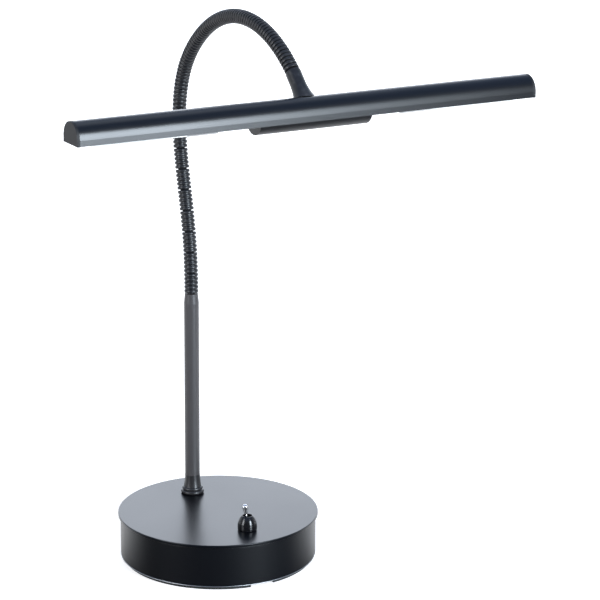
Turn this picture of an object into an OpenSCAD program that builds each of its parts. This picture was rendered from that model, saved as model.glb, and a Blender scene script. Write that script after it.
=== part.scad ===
// Piano lamp: round weighted base, upright stem, ribbed gooseneck and a long arched shade.
// Origin: centre of the base pad's underside. +Z up, -Y towards the front (switch side), X along the shade.

/* [Base] */
// Diameter of the top plate
base_d = 160; // [130:1:200]
// Height of the base from the table to the top face
base_h = 38; // [30:0.5:60]
// Thickness of the top plate
plate_t = 2.4; // [1.5:0.1:4]
// How far the top plate stands out past the drum
plate_over = 1.8; // [0:0.1:4]
// Wall thickness of the drum
drum_wall = 2; // [1:0.1:4]
// Height of the rubber pad under the base
pad_t = 3; // [1:0.5:6]
// How far the pad's edge lies inside the drum's wall
pad_inset = 2.7; // [0:0.1:8]
// Width of the notch in the pad's front edge
pad_notch = 20; // [0:1:30]
// Thickness of the bottom plate
floor_t = 2; // [1:0.1:4]
// Thickness of the cast weight
weight_t = 12; // [6:0.5:20]
// Radius of the circle of pillars
pillar_ring = 58; // [40:1:65]

/* [Stem] */
// Distance of the stem behind the base's centre
stem_y = 45.5; // [20:0.5:65]
// Outer diameter of the stem tube
stem_d = 12; // [8:0.5:20]
// Height of the straight tube above the base
stem_h = 161; // [80:1:300]
// Outer diameter of the collar at the stem's foot
collar_d = 18.8; // [14:0.1:30]
// Height of the collar, with its flare
collar_h = 16; // [8:0.5:24]

/* [Gooseneck] */
// Number of rigid ribbed lengths in the neck
neck_links = 23; // [12:1:30]
// Distance from rib to rib
rib_pitch = 3.33; // [2.5:0.01:5]
// Ribs on each length
ribs = 5; // [3:1:8]
// Outer diameter over the ribs
neck_d = 11.3; // [8:0.1:16]
// How far a rib's crest stands above its shoulders
rib_crown = 0.4; // [0.1:0.05:0.8]
// Gap between one rib and the next, which leaves room for the bend
link_gap = 0.95; // [0.5:0.05:1.2]
// Diameter of the tube that carries the ribs
core_d = 9.2; // [8.4:0.1:9.4]
// Diameter of the ball at each length's end
ball_d = 7.8; // [4:0.1:8]
// Gap between a ball and its socket
ball_gap = 0.12; // [0.05:0.01:0.3]
// Diameter of the bore for the wires
wire_bore = 2.6; // [1:0.1:5]
// Bend at each joint along the neck, in degrees: [joint, bend], negative leans back
neck_bends = [[0, -1.5], [2, -4], [4, -2], [10, 12], [11, 12.5], [13, 7.5], [19, 8.5], [23, 8]];

/* [Shade] */
// Overall length of the shade
shade_l = 374; // [200:1:600]
// Width of the shade across its walls
shade_w = 23.4; // [18:0.1:40]
// Height of the straight walls below the arch
wall_drop = 4.35; // [0:0.05:12]
// Wall thickness of the shade
shade_t = 1.2; // [0.8:0.1:2.5]
// Depth of the step along the walls' lower edges
lip_step = 0.5; // [0:0.05:1]
// Height of that step
lip_h = 1.6; // [0.5:0.1:4]
// Thickness of an end cap
cap_t = 2; // [1:0.1:4]
// Length of the round housing under the middle
housing_l = 91; // [50:1:150]
// Outer radius of the housing
housing_r = 12; // [10:0.1:20]
// Furthest tilt of the shade towards the front and towards the stem
tilt_front = 22; // [0:1:40]
// Furthest tilt the other way
tilt_back = 28; // [0:1:40]

/* [Lamps] */
// Diameter of the opal tube
tube_d = 15.4; // [10:0.1:18]
// Diameter of the tube's metal base
tube_base_d = 15.8; // [10:0.1:18.4]
// Distance in from the shade's end to where the metal base begins
tube_base_x = 111; // [60:1:140]
// Length of the metal base
tube_base_l = 24; // [10:1:40]
// Length of the straight glass
tube_l = 70; // [30:1:200]

/* [Switch] */
// Distance of the switch in front of the base's centre
switch_y = 50; // [20:0.5:70]
// Diameter of the domed nut
dome_d = 15.4; // [12:0.1:20]
// Height of the domed nut
dome_h = 11.5; // [9:0.5:16]
// Length of the lever from its pivot
lever_l = 16; // [12:0.5:24]
// Lean of the lever each way
lever_lean = 16; // [8:1:17]

/* [Part] */
// Piece to show

/* [Hidden] */
$fn = 64;
eps = 0.01;

black = [0.09, 0.09, 0.11];
deep_black = [0.04, 0.04, 0.05];
steel = [0.72, 0.73, 0.75];
iron = [0.30, 0.30, 0.32];
grey = [0.62, 0.63, 0.64];
opal = [0.97, 0.96, 0.92];
brass = [0.72, 0.58, 0.30];
board_green = [0.10, 0.33, 0.20];

// base
plate_r = base_d / 2;
plate_z = base_h - plate_t;
drum_r = plate_r - plate_over;
drum_in = drum_r - drum_wall;
pad_r = drum_r - pad_inset;
floor_z = pad_t;
weight_z = floor_z + floor_t;
weight_r = drum_in - 3.2;
pillar_af = 7;
screw_r = 1.95;
inlet_z = 22;
inlet_r = 4;

// stem
nipple_r = stem_d / 2 - 1;
tube_top = base_h + stem_h;
tip_h = 7.7;

// neck
link_l = ribs * rib_pitch;
ball_r = ball_d / 2;
socket_r = ball_r + ball_gap;
rib_w = rib_pitch - link_gap;
neck_r = neck_d / 2;
cup_drop = rib_w / 2;
core_gap = rib_pitch - cup_drop;
throat_r = 3.2;
first_z = tube_top + tip_h + core_gap;

// A length's heading is its direction in the Y-Z plane, counted from +Y
function bend(k) = lookup(k, neck_bends);
function heading(k) = k < 0 ? 90 : heading(k - 1) + bend(k);
function pivot(k) = k == 0 ? [0, stem_y, first_z]
    : pivot(k - 1) + link_l * [0, cos(heading(k - 1)), sin(heading(k - 1))];
function link_name(k) = str("neck_length_", k < 10 ? "0" : "", k);

// shade: its axis lies on the bell's centre line
arch_r = shade_w / 2;
lamp_x = shade_l / 2 - tube_base_x;
bell_reach = 35;
end_heading = heading(neck_links);
bell_at = pivot(neck_links);
shade_at = bell_at + bell_reach * [0, cos(end_heading), sin(end_heading)];
post_angle = end_heading - 180;
post_r = 3;
slot_w = 7.2;
seat_gap = 0.5;
bell_r = 8.8;
body_l = shade_l - 2 * cap_t;
inner_r = arch_r - shade_t;
bolt_r = 2.5;
knuckle_r = 5.5;
knuckle_l = 12;
washer_t = 1.15;
cheek_x = knuckle_l / 2 + 0.05 + washer_t;
cheek_t = 1.5;

// switch
pivot_up = 4;
bush_r = 3;
bush_up = 6;
bush_bore = 2;
lever_ball = bush_bore - 0.08;
nut_rise = 57;

// Puts a piece's +Z along a length's direction
module along(k, at) {
    translate(at) rotate([heading(k) - 90, 0, 0]) children();
}

// A cylinder lying along X, centred
module lie(r, l) {
    rotate([0, 90, 0]) cylinder(r = r, h = l, center = true);
}

// Mirrors a piece to both ends of the shade
module both_ends() {
    children();
    mirror([1, 0, 0]) children();
}

// Places a piece at the shade's axis
module at_shade() {
    translate(shade_at) children();
}

module at_pillars() {
    for (a = [0, 120, 240]) rotate([0, 0, a]) translate([pillar_ring, 0, 0]) children();
}

// Outline of a disc or tube with rounded outer corners, for turning
module rounded_ring(ri, ro, z0, z1, low, high) {
    rotate_extrude($fn = 128) polygon(concat(
        [[ri, z0]],
        [for (a = [-90:15:0]) [ro - low + low * cos(a), z0 + low + low * sin(a)]],
        [for (a = [0:15:90]) [ro - high + high * cos(a), z1 - high + high * sin(a)]],
        [[ri, z1]]));
}

// ---- base ----

module top_plate() {
    color(black) difference() {
        rounded_ring(0, plate_r, plate_z, base_h, 0.4, 0.6);
        translate([0, stem_y, plate_z - 1]) cylinder(r = nipple_r, h = plate_t + 2);
        translate([0, -switch_y, plate_z - 1]) cylinder(r = bush_r + 0.1, h = plate_t + 2);
    }
}

module drum() {
    color(black) difference() {
        union() {
            rounded_ring(drum_in, drum_r, floor_z, plate_z, 1.4, 1);
            // flange that carries the top plate
            translate([0, 0, plate_z - 1.6]) difference() {
                cylinder(r = drum_in + 0.5, h = 1.6, $fn = 128);
                translate([0, 0, -1]) cylinder(r = drum_in - 8, h = 4, $fn = 128);
            }
            // shoulder that the bottom plate bears on
            translate([0, 0, weight_z]) difference() {
                cylinder(r = drum_in + 0.5, h = 1.5, $fn = 128);
                translate([0, 0, -1]) cylinder(r = drum_in - 2.6, h = 4, $fn = 128);
            }
        }
        translate([0, drum_in - 6, inlet_z]) rotate([-90, 0, 0]) cylinder(r = inlet_r, h = 12);
    }
}

module weight() {
    color(iron) difference() {
        rounded_ring(0, weight_r, weight_z, weight_z + weight_t, 0.6, 1.2);
        at_pillars() translate([0, 0, weight_z - 1]) cylinder(r = 4.7, h = weight_t + 2);
        translate([0, 0, weight_z - 1]) cylinder(r = 9, h = weight_t + 2);
    }
}

module bottom_plate() {
    color(iron) difference() {
        translate([0, 0, floor_z]) cylinder(r = drum_in - 0.2, h = floor_t, $fn = 128);
        at_pillars() translate([0, 0, floor_z - 1]) cylinder(r = screw_r + 0.25, h = floor_t + 2);
    }
}

module foot_pad() {
    color(deep_black) difference() {
        cylinder(r = pad_r, h = pad_t, $fn = 128);
        at_pillars() translate([0, 0, -1]) cylinder(r = 5.2, h = pad_t + 2);
        translate([-pad_notch / 2, -pad_r - 1, -1]) cube([pad_notch, 11, pad_t + 2]);
    }
}

module base_pillars() {
    color(steel) at_pillars() difference() {
        translate([0, 0, weight_z])
            cylinder(r = pillar_af / sqrt(3), h = plate_z - weight_z, $fn = 6);
        translate([0, 0, weight_z - 1]) cylinder(r = screw_r + 0.05, h = 13);
    }
}

module base_screws() {
    color(steel) at_pillars() difference() {
        union() {
            translate([0, 0, floor_z - 2.2]) cylinder(r1 = 3.4, r2 = 3.9, h = 2.2);
            translate([0, 0, floor_z - 0.5]) cylinder(r = screw_r, h = 11);
        }
        for (a = [0, 90]) rotate([0, 0, a]) translate([-2.2, -0.4, floor_z - 3]) cube([4.4, 0.8, 2]);
    }
}

module dc_inlet() {
    color(deep_black) difference() {
        union() {
            translate([0, drum_in - 13, inlet_z]) rotate([-90, 0, 0]) cylinder(r = inlet_r, h = 16);
            translate([0, drum_r, inlet_z]) rotate([-90, 0, 0]) cylinder(r = 5.6, h = 1.4);
        }
        translate([0, drum_in - 7, inlet_z]) rotate([-90, 0, 0]) difference() {
            cylinder(r = 2.9, h = 12);
            cylinder(r = 1, h = 9);
        }
    }
}

module dc_inlet_nut() {
    color(steel) translate([0, drum_in - 2.9, inlet_z]) rotate([-90, 0, 0]) difference() {
        cylinder(r = 6, h = 2.6, $fn = 6);
        translate([0, 0, -1]) cylinder(r = inlet_r, h = 5);
    }
}

module driver_board() {
    color(board_green) translate([17, -14, weight_z + weight_t]) {
        cube([30, 28, 1.6]);
        translate([3, 4, 1.6 - eps]) cube([9, 9, 5]);
        translate([22, 8, 1.6 - eps]) cylinder(r = 3, h = 8);
        translate([6, 20, 1.6 - eps]) cube([14, 5, 3]);
        translate([16, 5, 1.6 - eps]) cube([3, 8, 1.2]);
    }
}

// ---- stem ----

// Turned ring with two beads and a long flare up to the tube
module stem_collar() {
    r0 = stem_d / 2;
    rb = collar_d / 2;
    low_bead = 1.6;
    high_bead = 1.25;
    rim = 2 * (low_bead + high_bead);
    color(black) translate([0, stem_y, base_h]) rotate_extrude($fn = 96) polygon(concat(
        [[r0, 0]],
        [for (a = [-90:15:75]) [rb - low_bead + low_bead * cos(a), low_bead + low_bead * sin(a)]],
        [for (a = [-60:15:75]) [rb - 0.9 - high_bead + high_bead * cos(a), rim - high_bead + high_bead * sin(a)]],
        [for (i = [0:8]) [r0 + 0.1 + 1.1 * pow(1 - i / 8, 2), rim + (collar_h - rim) * i / 8]],
        [[r0, collar_h]]));
}

module stem_tube() {
    color(black) translate([0, stem_y, base_h]) difference() {
        cylinder(r = stem_d / 2, h = stem_h, $fn = 96);
        translate([0, 0, -1]) cylinder(r = nipple_r, h = stem_h + 2);
    }
}

module stem_nipple() {
    color(brass) translate([0, stem_y, plate_z - 11]) difference() {
        cylinder(r = nipple_r, h = 32);
        translate([0, 0, -1]) cylinder(r = 3.2, h = 34);
    }
}

module stem_washer() {
    color(steel) translate([0, stem_y, plate_z - 1.5]) difference() {
        cylinder(r = 10, h = 1.5);
        translate([0, 0, -1]) cylinder(r = nipple_r, h = 4);
    }
}

module stem_nut() {
    color(steel) translate([0, stem_y, plate_z - 6]) difference() {
        intersection() {
            cylinder(r = 8.1, h = 4.5, $fn = 6);
            cylinder(r1 = 7.4, r2 = 11.9, h = 4.5);
        }
        translate([0, 0, -1]) cylinder(r = nipple_r, h = 7);
    }
}

// Turned piece in the tube's mouth: plug, taper and the first ball
module stem_tip() {
    color(black) translate([0, stem_y, tube_top]) difference() {
        union() {
            translate([0, 0, -14]) cylinder(r = nipple_r, h = 14.5);
            cylinder(r1 = stem_d / 2, r2 = neck_d / 2 - rib_crown, h = tip_h);
            cylinder(r = throat_r, h = tip_h + core_gap);
            translate([0, 0, tip_h + core_gap]) sphere(r = ball_r);
        }
        translate([0, 0, -15]) cylinder(r = wire_bore / 2, h = 60);
    }
}

// ---- gooseneck ----

// A length's turn from one end to the other: half of the bend at each of its two joints
function turn(k) = (bend(k - 1) + bend(k)) / 2;

// Places a piece on a length's arc: t is 0 at the socket's centre and 1 at the ball's
module on_arc(k, t) {
    bulge = link_l * turn(k) * PI / 360 * t * (1 - t);
    translate([0, bulge, link_l * t]) rotate([turn(k) * (t - 0.5), 0, 0]) children();
}

// A rib: a disc with a rounded rim
module rib() {
    steps = 6;
    rotate_extrude() polygon(concat(
        [[0, -rib_w / 2]],
        [for (i = [-steps:2:steps]) let (x = i / steps) [neck_r - rib_crown * x * x, rib_w / 2 * x]],
        [[0, rib_w / 2]]));
}

// A ribbed length: socket below, ribs that follow the neck's arc, ball above
module neck_length(k) {
    color(black) along(k - 1, pivot(k - 1)) difference() {
        union() {
            cylinder(r = core_d / 2, h = rib_pitch * (ribs - 1));
            for (i = [0:ribs - 1]) on_arc(k, i / ribs) rib();
            translate([0, 0, rib_pitch * (ribs - 1)]) cylinder(r = throat_r, h = rib_pitch);
            translate([0, 0, link_l]) sphere(r = ball_r);
        }
        sphere(r = socket_r);
        translate([0, 0, -neck_d]) cylinder(r = wire_bore / 2, h = link_l + 2 * neck_d);
    }
}

// Flared ferrule that ends the neck; its mouth is saddled to the shade's round back
module neck_bell() {
    flare = 26.5;
    start = 9;
    top_r = neck_d / 2 + 0.15;
    bow = (pow(flare - start, 2) + pow(bell_r - top_r, 2)) / (2 * (bell_r - top_r));
    color(black) difference() {
        along(neck_links, bell_at) difference() {
            rotate_extrude($fn = 96) polygon(concat(
                [[0, -cup_drop], [neck_d / 2 - 0.5, -cup_drop], [neck_d / 2, -0.6], [top_r, 0.6]],
                [for (i = [0:10]) let (z = start + i * (flare - start) / 10)
                    [top_r + bow - sqrt(bow * bow - pow(z - start, 2)), z]],
                [[0, flare]]));
            sphere(r = socket_r);
            cylinder(r = wire_bore / 2, h = 8);
            translate([0, 0, 6]) cylinder(r = post_r, h = bell_reach);
        }
        at_shade() lie(arch_r + seat_gap, 5 * knuckle_l);
    }
}

// Post and eye that turn on the hinge bolt inside the shade
module neck_knuckle() {
    color(steel) difference() {
        union() {
            along(neck_links, bell_at) translate([0, 0, 6]) cylinder(r = post_r, h = bell_reach - 6);
            at_shade() lie(knuckle_r, knuckle_l);
        }
        at_shade() lie(bolt_r + 0.05, knuckle_l + 2);
        along(neck_links, bell_at) cylinder(r = wire_bore / 2, h = bell_reach - knuckle_r + 1);
    }
}

// ---- shade ----

// Solid of the arched section: round above, straight walls below
module arch(r, drop, l) {
    difference() {
        union() {
            lie(r, l);
            translate([-l / 2, -r, -drop]) cube([l, 2 * r, drop]);
        }
        translate([-l, -2 * r, -drop - 3 * r]) cube([2 * l, 4 * r, 3 * r]);
    }
}

module shade() {
    spare = 18.5;
    slot_lo = post_angle - tilt_back - spare;
    slot_hi = post_angle + tilt_front + spare;
    mid = (slot_lo + slot_hi) / 2;
    color(black) at_shade() difference() {
        union() {
            difference() {
                arch(arch_r, wall_drop, body_l);
                for (s = [-1, 1]) translate([-body_l, s * arch_r - lip_step, -wall_drop - 1])
                    cube([2 * body_l, 2 * lip_step, lip_h + 1]);
            }
        }
        difference() {
            arch(inner_r, wall_drop + 1, body_l + 2);
            // small lips turned in along the lower edges
            for (s = [-1, 1]) translate([-body_l, s * inner_r - 0.9, -wall_drop])
                cube([2 * body_l, 1.8, 0.9]);
        }
        rotate([90, 0, 90]) translate([0, 0, -slot_w / 2]) linear_extrude(slot_w)
            polygon([[0, 0], shade_w * [cos(slot_lo), sin(slot_lo)], 1.3 * shade_w * [cos(mid), sin(mid)],
                shade_w * [cos(slot_hi), sin(slot_hi)]]);
        // room for the housing's ends between the lips
        translate([-housing_l / 2 - 0.5, -inner_r, -wall_drop - 1]) cube([housing_l + 1, 2 * inner_r, 2]);
    }
}

module end_cap() {
    color(deep_black) at_shade() {
        translate([body_l / 2 + cap_t / 2, 0, 0]) arch(arch_r, wall_drop, cap_t);
        translate([body_l / 2 - 1.5 + eps, 0, 0]) difference() {
            arch(inner_r - 0.05, wall_drop - 1, 3);
            translate([-1, 0, 0]) arch(inner_r - 1.5, wall_drop, 5);
        }
    }
}

module end_cap_left() {
    mirror([1, 0, 0]) end_cap();
}

module end_cap_right() {
    end_cap();
}

// Two cheeks inside the arch, joined by a strip below the eye
module hinge_bracket() {
    color(steel) at_shade() difference() {
        union() {
            both_ends() difference() {
                translate([cheek_x + cheek_t / 2, 0, 0]) lie(inner_r, cheek_t);
                translate([cheek_x - 1, -inner_r, -8.2 - 10]) cube([cheek_t + 2, 2 * inner_r, 10]);
                for (s = [-1, 1]) translate([cheek_x - 1, s * 11 - 2.2, -12]) cube([cheek_t + 2, 4.4, 11.5]);
            }
            translate([-cheek_x - cheek_t, -5, -8.2]) cube([2 * (cheek_x + cheek_t), 10, 1.5]);
        }
        lie(bolt_r, 40);
    }
}

module hinge_bolt() {
    head = cheek_x + cheek_t;
    color(steel) at_shade() {
        lie(bolt_r, 2 * head + 9);
        translate([-head - 3.2, 0, 0]) rotate([0, 90, 0]) cylinder(r = 4.6, h = 3.2, $fn = 6);
    }
}

module hinge_nut() {
    color(steel) at_shade() translate([cheek_x + cheek_t, 0, 0]) rotate([0, 90, 0]) difference() {
        cylinder(r = 4.6, h = 4, $fn = 6);
        translate([0, 0, -1]) cylinder(r = bolt_r, h = 6);
    }
}

module friction_washers() {
    color(deep_black) at_shade() both_ends() translate([cheek_x - washer_t / 2, 0, 0]) difference() {
        lie(5.2, washer_t);
        lie(bolt_r, washer_t + 1);
    }
}

// Half-round housing under the middle, coaxial with the arch
module housing() {
    t = 1.2;
    color(deep_black) at_shade() {
        difference() {
            lie(housing_r, housing_l);
            lie(housing_r - t, housing_l - 2 * t);
            translate([-housing_l, -2 * housing_r, -wall_drop]) cube([2 * housing_l, 4 * housing_r, 2 * housing_r]);
        }
        // upstands that clip inside the shade's walls
        for (s = [-1, 1]) translate([-housing_l / 2 + 2, s * (inner_r - 0.75) - 0.75, -wall_drop - 0.6])
            cube([housing_l - 4, 1.5, 4]);
    }
}

module lamp_holder() {
    x0 = lamp_x - 16;
    difference() {
        union() {
            translate([x0 + 8, 0, 0]) lie(5.5, 16);
            translate([x0 + 2, -3.5, 0]) cube([12, 7, sqrt(inner_r * inner_r - 3.5 * 3.5)]);
        }
        translate([x0 + 11, 0, 0]) lie(3, 10 + eps);
    }
}

module lamp_holders() {
    color(deep_black) at_shade() both_ends() lamp_holder();
}

module lamp_base() {
    translate([lamp_x + tube_base_l / 2, 0, 0]) lie(tube_base_d / 2, tube_base_l);
    translate([lamp_x - 5, 0, 0]) lie(3, 10 + eps);
}

module lamp_bases() {
    color(grey) at_shade() both_ends() lamp_base();
}

module lamp_tube() {
    r = tube_d / 2;
    ri = r - 1;
    translate([lamp_x + tube_base_l, 0, 0]) rotate([0, 90, 0]) rotate_extrude() polygon(concat(
        [[ri, 0], [r, 0]],
        [for (a = [0:10:90]) [r * cos(a), tube_l + r * sin(a)]],
        [for (a = [90:-10:0]) [ri * cos(a), tube_l + ri * sin(a)]]));
}

module lamp_tubes() {
    color(opal) at_shade() both_ends() lamp_tube();
}

// Half rings that steady the glass near its far end
module lamp_clip() {
    x = lamp_x + tube_base_l + tube_l - 12;
    r = tube_d / 2;
    difference() {
        union() {
            translate([x, 0, 0]) lie(r + 0.9, 6);
            translate([x - 3, -2, 0]) cube([6, 4, sqrt(inner_r * inner_r - 4)]);
        }
        lie(r, 2 * shade_l);
        translate([x - 5, -20, -40]) cube([10, 40, 39]);
    }
}

module lamp_clips() {
    color(steel) at_shade() both_ends() lamp_clip();
}

// ---- switch ----

module at_switch() {
    translate([0, -switch_y, 0]) children();
}

module switch_body() {
    color(deep_black) at_switch() translate([-6.6, -4, plate_z - 14.2]) cube([13.2, 8, 11]);
}

module switch_bushing() {
    color(steel) at_switch() difference() {
        translate([0, 0, plate_z - 3.2]) cylinder(r = bush_r, h = 3.2 + plate_t + bush_up);
        translate([0, 0, base_h + pivot_up - 2.5]) cylinder(r = bush_bore, h = 20);
    }
}

module switch_under_nut() {
    color(steel) at_switch() translate([0, 0, plate_z - 2.2]) difference() {
        cylinder(r = 4.6, h = 2.2, $fn = 6);
        translate([0, 0, -1]) cylinder(r = bush_r, h = 4);
    }
}

// Tall domed nut over the threaded bushing, open at the top for the lever
module switch_dome() {
    r = dome_d / 2;
    waist = 2;
    mouth = r * cos(nut_rise) - 0.35;
    color(deep_black) at_switch() translate([0, 0, base_h]) difference() {
        rotate_extrude($fn = 96) polygon(concat(
            [[0, 0], [r - 0.5, 0], [r - 0.1, 0.7]],
            [for (i = [0:6]) let (a = i * nut_rise / 6)
                [r * cos(a), waist + (dome_h - waist) * sin(a) / sin(nut_rise)]],
            [[0, dome_h]]));
        translate([0, 0, -1]) cylinder(r = bush_r, h = bush_up + 1.1);
        translate([0, 0, bush_up + 0.1 - eps]) cylinder(r1 = bush_r + 0.4, r2 = mouth, h = dome_h - bush_up);
    }
}

module switch_terminals() {
    color(brass) at_switch() for (x = [-4.7, 0, 4.7])
        translate([x - 0.4, -1, plate_z - 18.2]) cube([0.8, 2, 4]);
}

// Ball on the bushing's axis, thin shank and a bat-shaped grip
module switch_lever() {
    shank_l = 8;
    grip_r = 2.2;
    color(steel) translate([0, -switch_y, base_h + pivot_up]) rotate([-lever_lean, 0, 0]) {
        sphere(r = lever_ball);
        cylinder(r1 = 0.95, r2 = 1.15, h = shank_l);
        translate([0, 0, shank_l - eps]) cylinder(r1 = 1.15, r2 = grip_r, h = lever_l - grip_r - shank_l);
        translate([0, 0, lever_l - grip_r]) sphere(r = grip_r);
    }
}

top_plate();
drum();
weight();
bottom_plate();
foot_pad();
base_pillars();
base_screws();
dc_inlet();
dc_inlet_nut();
driver_board();
stem_collar();
stem_tube();
stem_nipple();
stem_washer();
stem_nut();
stem_tip();
switch_body();
switch_bushing();
switch_under_nut();
switch_dome();
switch_terminals();
switch_lever();
for (k = [1:neck_links]) neck_length(k);
neck_bell();
neck_knuckle();
shade();
end_cap_left();
end_cap_right();
hinge_bracket();
hinge_bolt();
hinge_nut();
friction_washers();
housing();
lamp_holders();
lamp_bases();
lamp_tubes();
lamp_clips();
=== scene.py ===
import math

import bmesh
import bpy
from mathutils import Matrix, Vector


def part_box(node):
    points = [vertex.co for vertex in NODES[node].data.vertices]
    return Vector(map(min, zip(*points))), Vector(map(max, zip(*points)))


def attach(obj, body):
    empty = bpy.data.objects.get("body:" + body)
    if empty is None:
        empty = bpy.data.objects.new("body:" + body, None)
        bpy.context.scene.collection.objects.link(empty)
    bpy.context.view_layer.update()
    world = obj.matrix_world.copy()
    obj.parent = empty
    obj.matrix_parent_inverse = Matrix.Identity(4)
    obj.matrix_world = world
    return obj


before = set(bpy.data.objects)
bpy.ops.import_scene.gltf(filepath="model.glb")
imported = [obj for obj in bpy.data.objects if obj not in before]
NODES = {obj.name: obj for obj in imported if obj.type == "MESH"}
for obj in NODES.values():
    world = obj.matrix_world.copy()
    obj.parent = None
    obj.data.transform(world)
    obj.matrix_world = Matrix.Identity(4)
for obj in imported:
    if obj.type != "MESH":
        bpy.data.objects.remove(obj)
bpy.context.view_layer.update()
MM = 0.001

# The photograph's viewpoint, counted from the middle of the base
VIEW_BEARING = math.radians(-27.217)
VIEW_DISTANCE = 1.9123
VIEW_HEIGHT = 0.7587
VIEW_PAN = math.radians(-1.937)
VIEW_TILT = math.radians(15.937)
VIEW_ROLL = math.radians(0.348)
VIEW_LENS = 152.3

# Colours as they are written for a plain white light
SATIN_BLACK = (0.0014, 0.0019, 0.0036, 1)
NECK_BLACK = (0.010, 0.010, 0.012, 1)
PLASTIC_BLACK = (0.0050, 0.0048, 0.0058, 1)
GLOSS_BLACK = (0.004, 0.004, 0.005, 1)
RUBBER_BLACK = (0.018, 0.018, 0.019, 1)
# The stem's black sits far above the satin paint: partly a warmer tone of its own, partly painted sheen
# standing in for the white it reflects all round
STEM_BLACK_AND_PAINTED_SHEEN = (0.056, 0.052, 0.053, 1)
COLLAR_BLACK = (0.020, 0.019, 0.020, 1)
CAST_GREY = (0.10, 0.10, 0.105, 1)
ZINC = (0.58, 0.59, 0.60, 1)
CHROME = (0.78, 0.78, 0.79, 1)
SPUN_ALUMINIUM = (0.60, 0.61, 0.62, 1)
OPAL_WHITE = (0.93, 0.92, 0.88, 1)
BRASS = (0.62, 0.46, 0.20, 1)
BOARD_GREEN = (0.02, 0.09, 0.045, 1)
BOARD_COPPER = (0.045, 0.15, 0.075, 1)

# How bright the floor close to the base, the wall behind the lamp, the room in front of it and the
# fill light are: 1 is white
FLOOR_NEAR_GLOW = 0.72
OVERHEAD_GLOW = 0.50
FRONT_GLOW = 0.01
SOFT_FILL = 0.08
BEHIND = (0.454, 0.891, 0)

# Where the floor and the room change over: metres on the floor, share of a direction in the room
FLOOR_HALF = 6.0
FLOOR_GLOW_FADE = (0.08, 0.40)
FLOOR_MIRROR_FADE = (-0.07, 0.05)
WALL_FADE = (-0.35, 0.45)
CEILING_FADE = (0.30, 0.80)

# The bare bead along the foot of the drum
BEAD = 0.35 * MM

BLACK = (0, 0, 0, 1)
WHITE = (1, 1, 1, 1)
COOL_WHITE = (0.84, 0.91, 1, 1)
DUSK_BLUE = (0.42, 0.60, 1, 1)


# ---- shader maths ----


class Signal:
    """A shader socket that can be used in a Python expression."""

    def __init__(self, finish, socket):
        self.finish, self.socket = finish, socket

    def _math(self, operation, a, b=None):
        values = {0: a} if b is None else {0: a, 1: b}
        return self.finish.node("ShaderNodeMath", {"operation": operation}, values)

    def __add__(self, other):
        return self._math("ADD", self, other)

    __radd__ = __add__

    def __sub__(self, other):
        return self._math("SUBTRACT", self, other)

    def __rsub__(self, other):
        return self._math("SUBTRACT", other, self)

    def __mul__(self, other):
        return self._math("MULTIPLY", self, other)

    __rmul__ = __mul__

    def step(self, low, high):
        """0 below low and 1 above high, smooth between them."""
        settings = {"interpolation_type": "SMOOTHSTEP"}
        values = {"Value": self, "From Min": low, "From Max": high}
        return self.finish.node("ShaderNodeMapRange", settings, values)

    def clamped(self):
        return self.finish.node("ShaderNodeClamp", {}, {"Value": self})


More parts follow.
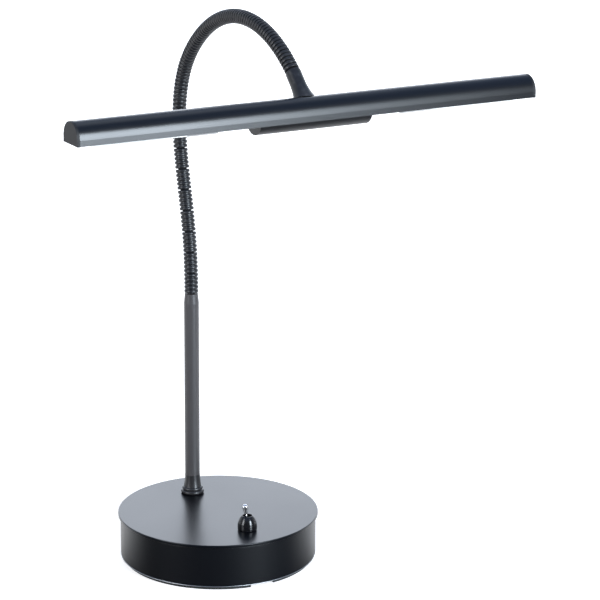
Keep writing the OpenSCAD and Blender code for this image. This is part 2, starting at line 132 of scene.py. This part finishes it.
class Finish:
    """A material of the lamp, made from nodes."""

    def __init__(self, name):
        self.material = bpy.data.materials.new(name)
        self.material.use_nodes = True
        self.tree = self.material.node_tree
        self.tree.nodes.clear()
        self.shader = self.tree.nodes.new("ShaderNodeBsdfPrincipled")
        output = self.tree.nodes.new("ShaderNodeOutputMaterial")
        self.tree.links.new(self.shader.outputs["BSDF"], output.inputs["Surface"])

    @classmethod
    def for_world(cls, world):
        """The same node writing, for the world's background."""
        made = cls.__new__(cls)
        world.use_nodes = True
        made.tree = world.node_tree
        made.tree.nodes.clear()
        made.shader = made.tree.nodes.new("ShaderNodeBackground")
        output = made.tree.nodes.new("ShaderNodeOutputWorld")
        made.tree.links.new(made.shader.outputs[0], output.inputs["Surface"])
        return made

    def node(self, kind, settings=None, values=None, out=0):
        """Adds a node: its settings first, then the values or links of its sockets."""
        made = self.tree.nodes.new(kind)
        for key, value in (settings or {}).items():
            setattr(made, key, value)
        for key, value in (values or {}).items():
            self._feed(made.inputs[key], value)
        return Signal(self, made.outputs[out])

    def _feed(self, socket, value):
        if isinstance(value, Signal):
            self.tree.links.new(value.socket, socket)
        else:
            socket.default_value = value

    def place(self):
        """The point on the piece, in metres in the row frame."""
        return self.node("ShaderNodeTexCoord", out=3)

    def ray(self, kind):
        """1 for rays of that kind, such as Is Camera Ray."""
        outputs = ("Is Camera Ray", "Is Shadow Ray", "Is Diffuse Ray", "Is Glossy Ray", "Is Singular Ray",
                   "Is Reflection Ray", "Is Transmission Ray")
        return self.node("ShaderNodeLightPath", out=outputs.index(kind))

    def length(self, vector):
        return self.node("ShaderNodeVectorMath", {"operation": "LENGTH"}, {0: vector}, out=1)

    def along(self, vector, direction):
        """How far the vector reaches in that direction."""
        return self.node("ShaderNodeVectorMath", {"operation": "DOT_PRODUCT"}, {0: vector, 1: direction}, out=1)

    def part_of(self, vector, axis):
        return self.node("ShaderNodeSeparateXYZ", {}, {0: vector}, out="XYZ".index(axis))

    def scaled(self, vector, factors):
        return self.node("ShaderNodeVectorMath", {"operation": "MULTIPLY"}, {0: vector, 1: factors})

    def grain(self, size, detail=2.0, rough=0.5, vector=None):
        """Noise from 0 to 1 whose patches are about size metres across."""
        place = vector or self.place()
        values = {"Vector": place, "Scale": 1 / size, "Detail": detail, "Roughness": rough}
        return self.node("ShaderNodeTexNoise", {}, values)

    def colours(self, factor, first, second):
        """From the first colour to the second as factor goes from 0 to 1."""
        mix = self.tree.nodes.new("ShaderNodeMix")
        mix.data_type = "RGBA"
        for socket, value in ((mix.inputs[0], factor), (mix.inputs[6], first), (mix.inputs[7], second)):
            self._feed(socket, value)
        return Signal(self, mix.outputs[2])

    def bump(self, height, depth, strength=1.0):
        values = {"Height": height, "Distance": depth, "Strength": strength}
        return self.node("ShaderNodeBump", {}, values)

    def set(self, **sockets):
        for key, value in sockets.items():
            self._feed(self.shader.inputs[key.replace("_", " ").title()], value)
        return self


# ---- finishes ----


def satin_paint(name, colour, gloss=0.30, peel=0.9 * MM):
    """Baked satin lacquer: faint orange peel, a little dust and a slow drift in gloss."""
    f = Finish(name)
    drift = f.grain(60 * MM, 1.0)
    dust = f.grain(0.7 * MM, 3.0).step(0.70, 0.82)
    peel_height = f.grain(peel, 2.0)
    f.set(base_color=f.colours(dust * 0.35, colour, tuple(c * 2.6 for c in colour[:3]) + (1,)))
    f.set(roughness=gloss - 0.03 + drift * 0.06 + dust * 0.08, normal=f.bump(peel_height, 0.006 * MM))
    return f.material


def lacquered_neck(name):
    """Black lacquer on the wound wire, thinner and greyer on the crests."""
    f = Finish(name)
    scuff = f.grain(4 * MM, 4.0).step(0.50, 0.75)
    fine = f.grain(0.5 * MM, 2.0)
    f.set(base_color=f.colours(scuff * 0.5, NECK_BLACK, (0.040, 0.040, 0.045, 1)))
    f.set(roughness=0.34 + fine * 0.10 - scuff * 0.05, normal=f.bump(fine, 0.012 * MM))
    return f.material


def moulded_plastic(name, colour, gloss=0.45, spark=0.35 * MM):
    """Black plastic with the fine spark-eroded grain of its mould."""
    f = Finish(name)
    pits = f.grain(spark, 3.0, 0.6)
    tone = f.grain(25 * MM, 2.0)
    f.set(base_color=f.colours(tone, colour, tuple(c * 1.35 for c in colour[:3]) + (1,)))
    f.set(roughness=gloss + pits * 0.12, normal=f.bump(pits, 0.006 * MM))
    return f.material


def gloss_lacquer(name):
    f = Finish(name)
    smear = f.grain(3 * MM, 3.0)
    f.set(base_color=f.colours(smear, GLOSS_BLACK, (0.007, 0.007, 0.008, 1)))
    f.set(roughness=0.14 + smear * 0.07)
    return f.material


def foot_rubber(name):
    f = Finish(name)
    crumb = f.grain(0.8 * MM, 4.0, 0.7)
    f.set(base_color=f.colours(crumb, RUBBER_BLACK, (0.045, 0.045, 0.046, 1)))
    f.set(roughness=0.72 + crumb * 0.18, normal=f.bump(crumb, 0.08 * MM))
    return f.material


def raw_casting(name):
    f = Finish(name)
    sand = f.grain(1.2 * MM, 5.0, 0.7)
    rust = f.grain(14 * MM, 3.0).step(0.60, 0.75)
    f.set(base_color=f.colours(rust * 0.4, CAST_GREY, (0.12, 0.085, 0.06, 1)))
    f.set(roughness=0.55 + sand * 0.25, metallic=0.75 - rust * 0.5, normal=f.bump(sand, 0.12 * MM))
    return f.material


def turned_metal(name, colour, gloss=0.28, lay=(1, 1, 14)):
    """Bare metal with fine tool marks across one direction."""
    f = Finish(name)
    marks = f.grain(1.5 * MM, 3.0, vector=f.scaled(f.place(), lay))
    tone = f.grain(9 * MM, 2.0)
    f.set(base_color=f.colours(tone, colour, tuple(c * 0.82 for c in colour[:3]) + (1,)))
    f.set(roughness=gloss + marks * 0.12, normal=f.bump(marks, 0.01 * MM))
    f.shader.inputs["Metallic"].default_value = 1.0
    return f.material


def opal_glass(name):
    f = Finish(name)
    cloud = f.grain(12 * MM, 2.0)
    f.set(base_color=f.colours(cloud, OPAL_WHITE, (0.90, 0.885, 0.84, 1)), roughness=0.16 + cloud * 0.06)
    f.shader.inputs["Coat Weight"].default_value = 0.5
    f.shader.inputs["Coat Roughness"].default_value = 0.05
    return f.material


def circuit_board(name):
    f = Finish(name)
    values = {"Vector": f.place(), "Scale": 180.0, "Mortar Size": 0.12}
    tracks = f.node("ShaderNodeTexBrick", {}, values, out=1)
    f.set(base_color=f.colours(tracks, BOARD_GREEN, BOARD_COPPER), roughness=0.35 + tracks * 0.1)
    f.set(normal=f.bump(tracks, 0.03 * MM))
    return f.material


def dress(names, material):
    for name in names:
        mesh = NODES[name].data
        mesh.materials.clear()
        mesh.materials.append(material)


# ---- the pieces kept from the frame ----


def soften(names, width, segments=2, angle=40):
    """Rounds sharp edges by a modifier, so the frame's own mesh stays."""
    for name in names:
        piece = NODES[name]
        bevel = piece.modifiers.new("edge_round", "BEVEL")
        bevel.width, bevel.segments = width, segments
        bevel.limit_method, bevel.angle_limit = "ANGLE", math.radians(angle)
        bevel.harden_normals = False


def smooth(names, angle=35):
    for name in names:
        mesh = NODES[name].data
        mesh.shade_smooth()
        mesh.set_sharp_from_angle(angle=math.radians(angle))


def rolled_bead(name, radius, height, thickness, turns=192, sides=8):
    """A closed ring of round section about the lamp's middle."""
    shape = bmesh.new()
    rings = []
    for turn in range(turns):
        around = math.tau * turn / turns
        ring = []
        for side in range(sides):
            over = math.tau * side / sides
            out = radius + thickness * math.cos(over)
            place = (out * math.cos(around), out * math.sin(around), height + thickness * math.sin(over))
            ring.append(shape.verts.new(place))
        rings.append(ring)
    for turn in range(turns):
        here, after = rings[turn], rings[(turn + 1) % turns]
        for side in range(sides):
            up = (side + 1) % sides
            shape.faces.new((here[side], after[side], after[up], here[up]))
    mesh = bpy.data.meshes.new(name)
    shape.to_mesh(mesh)
    shape.free()
    mesh.shade_smooth()
    piece = bpy.data.objects.new(name, mesh)
    bpy.context.scene.collection.objects.link(piece)
    return piece


# ---- studio ----


def make_camera():
    bearing = VIEW_BEARING + VIEW_PAN
    out = Vector((math.sin(VIEW_BEARING), -math.cos(VIEW_BEARING), 0)) * VIEW_DISTANCE
    ahead = Vector((-math.sin(bearing) * math.cos(VIEW_TILT), math.cos(bearing) * math.cos(VIEW_TILT),
                    -math.sin(VIEW_TILT)))
    level = Vector((math.cos(bearing), math.sin(bearing), 0))
    up = level.cross(ahead)
    right = math.cos(VIEW_ROLL) * level + math.sin(VIEW_ROLL) * up
    up = right.cross(ahead)
    data = bpy.data.cameras.new("camera")
    data.lens, data.sensor_width, data.sensor_fit = VIEW_LENS, 36, "HORIZONTAL"
    data.clip_start, data.clip_end = 0.05, 50
    camera = bpy.data.objects.new("camera", data)
    camera.matrix_world = Matrix.Translation(out + Vector((0, 0, VIEW_HEIGHT))) @ Matrix(
        (right, up, -ahead)).transposed().to_4x4()
    bpy.context.scene.collection.objects.link(camera)
    bpy.context.scene.camera = camera


def softbox(name, at, aim, width, height, power, tint=(1, 1, 1)):
    """A rectangular studio light at one point, turned towards another."""
    data = bpy.data.lights.new(name, "AREA")
    data.shape, data.size, data.size_y = "RECTANGLE", width, height
    data.energy, data.color = power, tint
    light = bpy.data.objects.new(name, data)
    light.location = at
    light.visible_camera = False
    light.rotation_euler = (Vector(aim) - Vector(at)).to_track_quat("-Z", "Y").to_euler()
    bpy.context.scene.collection.objects.link(light)


def make_floor():
    """A white floor that takes the lamp's shadow. In reflections it is dark in front of the lamp."""
    half = FLOOR_HALF
    mesh = bpy.data.meshes.new("floor")
    corners = [(-half, -half, 0), (half, -half, 0), (half, half, 0), (-half, half, 0)]
    mesh.from_pydata(corners, [], [(0, 1, 2, 3)])
    floor = bpy.data.objects.new("floor", mesh)
    bpy.context.scene.collection.objects.link(floor)
    f = Finish("pale_floor")
    mesh.materials.append(f.material)
    f.set(roughness=1.0, emission_strength=1.0)
    away = f.length(f.place())
    behind = f.along(f.place(), BEHIND)
    gloss = (f.ray("Is Glossy Ray") + f.ray("Is Transmission Ray")).clamped()
    seen = f.ray("Is Camera Ray") * (FLOOR_NEAR_GLOW + (1 - FLOOR_NEAR_GLOW) * away.step(*FLOOR_GLOW_FADE))
    white_part = behind.step(*FLOOR_MIRROR_FADE)
    mirrored = gloss * (FRONT_GLOW + (1 - FRONT_GLOW) * white_part)
    f.set(base_color=f.colours(gloss * (1 - white_part), (0.86, 0.86, 0.86, 1), BLACK))
    f.set(emission_color=f.colours((seen + mirrored).clamped(), BLACK, WHITE))


def make_world():
    """White to the camera. Reflections see a cool white wall behind the lamp, a dusky blue ceiling and a
    dark room in front."""
    world = bpy.data.worlds.new("studio")
    bpy.context.scene.world = world
    f = Finish.for_world(world)
    direction = f.node("ShaderNodeTexCoord", out=0)
    wall = f.along(direction, BEHIND).step(*WALL_FADE)
    up = f.part_of(direction, "Z")
    gloss = (f.ray("Is Glossy Ray") + f.ray("Is Transmission Ray")).clamped()
    ceiling = up.step(*CEILING_FADE)
    mirrored = (FRONT_GLOW + (1 - FRONT_GLOW) * wall) * (1 - ceiling) + OVERHEAD_GLOW * ceiling
    tint = f.colours(ceiling, COOL_WHITE, DUSK_BLUE)
    room = f.colours((gloss * mirrored + SOFT_FILL).clamped(), BLACK, tint)
    f.set(color=f.colours(f.ray("Is Camera Ray"), room, WHITE))
    f.shader.inputs["Strength"].default_value = 1.0


# ---- putting it together ----

dress(["top_plate", "shade"], satin_paint("satin_black_paint", SATIN_BLACK))
dress(["drum"], satin_paint("drum_paint", SATIN_BLACK, 0.36))
# The stem's lighter base colour holds a painted sheen as well as its own warmer tone
dress(["stem_tube", "stem_tip"], satin_paint("stem_paint_with_painted_sheen", STEM_BLACK_AND_PAINTED_SHEEN, 0.42))
dress(["stem_collar"], satin_paint("collar_paint", COLLAR_BLACK, 0.34))
NECK = [name for name in NODES if name.startswith("neck_length_")]
dress(NECK + ["neck_bell"], lacquered_neck("neck_lacquer"))
dress(["end_cap_left", "end_cap_right"], moulded_plastic("cap_plastic", PLASTIC_BLACK, 0.55))
dress(["housing", "lamp_holders", "switch_body", "dc_inlet", "friction_washers"],
      moulded_plastic("housing_plastic", PLASTIC_BLACK, 0.38))
dress(["switch_dome"], gloss_lacquer("nut_lacquer"))
dress(["foot_pad"], foot_rubber("pad_rubber"))
dress(["weight"], raw_casting("weight_iron"))
dress(["bottom_plate", "base_pillars", "base_screws", "dc_inlet_nut", "stem_washer", "stem_nut",
       "switch_under_nut", "switch_bushing", "hinge_bracket", "hinge_bolt", "hinge_nut", "neck_knuckle",
       "lamp_clips"], turned_metal("zinc_steel", ZINC))
dress(["switch_lever"], turned_metal("bright_chrome", CHROME, 0.06))
dress(["lamp_bases"], turned_metal("spun_aluminium", SPUN_ALUMINIUM, 0.30, (14, 1, 1)))
dress(["lamp_tubes"], opal_glass("opal_glass"))
dress(["stem_nipple", "switch_terminals"], turned_metal("plain_brass", BRASS, 0.25))
dress(["driver_board"], circuit_board("board"))
smooth(NODES)
soften(["top_plate"], 0.4 * MM)
soften(["end_cap_left", "end_cap_right"], 0.35 * MM)

DRUM_LOW, DRUM_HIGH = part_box("drum")
bead = rolled_bead("drum_bead", DRUM_HIGH[0] - BEAD / 2, DRUM_LOW[2] + BEAD / 2, BEAD)
bead.data.materials.append(turned_metal("bare_rim", ZINC, 0.32))
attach(bead, "base")

make_camera()
make_floor()
make_world()
softbox("front_box", (0.52, -1.85, 0.50), (0, -0.1, 0.35), 0.55, 1.6, 74, (0.80, 0.90, 1.0))
softbox("left_box", (-2.0, -0.25, 0.75), (0, 0, 0.25), 0.8, 1.4, 27, (0.92, 0.95, 1.0))
softbox("backdrop_box", (1.2, 2.3, 0.80), (0, 0, 0.1), 3.0, 1.5, 32, (0.84, 0.90, 1.0))
softbox("sky_box", (0.2, 0.5, 1.9), (0, 0, 0.2), 1.4, 1.0, 3, (0.90, 0.95, 1.0))

bpy.context.scene.view_settings.view_transform = "Standard"
